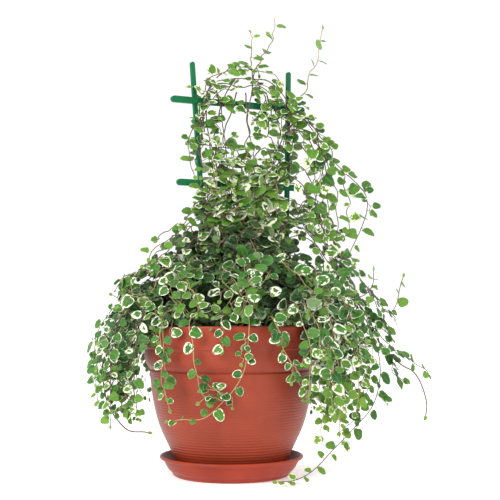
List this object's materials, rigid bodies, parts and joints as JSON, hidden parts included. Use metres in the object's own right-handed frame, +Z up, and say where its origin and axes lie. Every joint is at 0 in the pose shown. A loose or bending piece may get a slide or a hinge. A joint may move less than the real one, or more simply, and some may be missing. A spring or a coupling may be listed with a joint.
{
  "type": "potted creeping fig topiary",
  "caption": "Variegated creeping fig climbing a ladder trellis and trailing over the rim of a round plastic pot that stands on a saucer.",
  "frame": {"origin": "on the ground, on the axis of the pot and saucer", "axes": "+Z up along the pot's axis, -Y towards the front of the pot, +X to the right seen from the front"},
  "size_m": [0.3332, 0.2238, 0.45],
  "materials": {
    "saucer_plastic": "satin terracotta-coloured plastic",
    "pot_plastic": "satin terracotta-coloured plastic",
    "trellis_plastic": "satin green plastic",
    "soil": "dark damp potting soil",
    "climbing_leaves": "green leaves with cream margins",
    "trailing_leaves": "green leaves with cream margins"
  },
  "bodies": {
    "root": {"saucer": "saucer_plastic", "pot": "pot_plastic", "soil": "soil", "trellis": "trellis_plastic", "climbing_foliage": "climbing_leaves", "back_shoot_1": "trailing_leaves", "back_shoot_2": "trailing_leaves", "back_shoot_3": "trailing_leaves", "back_shoot_4": "trailing_leaves", "back_shoot_5": "trailing_leaves", "front_shoot_1": "trailing_leaves", "front_shoot_2": "trailing_leaves", "front_shoot_3": "trailing_leaves", "front_shoot_4": "trailing_leaves", "left_shoot_1": "trailing_leaves", "left_shoot_2": "trailing_leaves", "left_shoot_3": "trailing_leaves", "left_shoot_4": "trailing_leaves", "left_shoot_5": "trailing_leaves", "left_shoot_6": "trailing_leaves", "right_shoot_1": "trailing_leaves", "right_shoot_2": "trailing_leaves", "right_shoot_3": "trailing_leaves", "right_shoot_4": "trailing_leaves", "right_shoot_5": "trailing_leaves", "right_shoot_6": "trailing_leaves", "right_shoot_7": "trailing_leaves", "right_shoot_8": "trailing_leaves", "right_shoot_9": "trailing_leaves"}
  },
  "joints": []
}
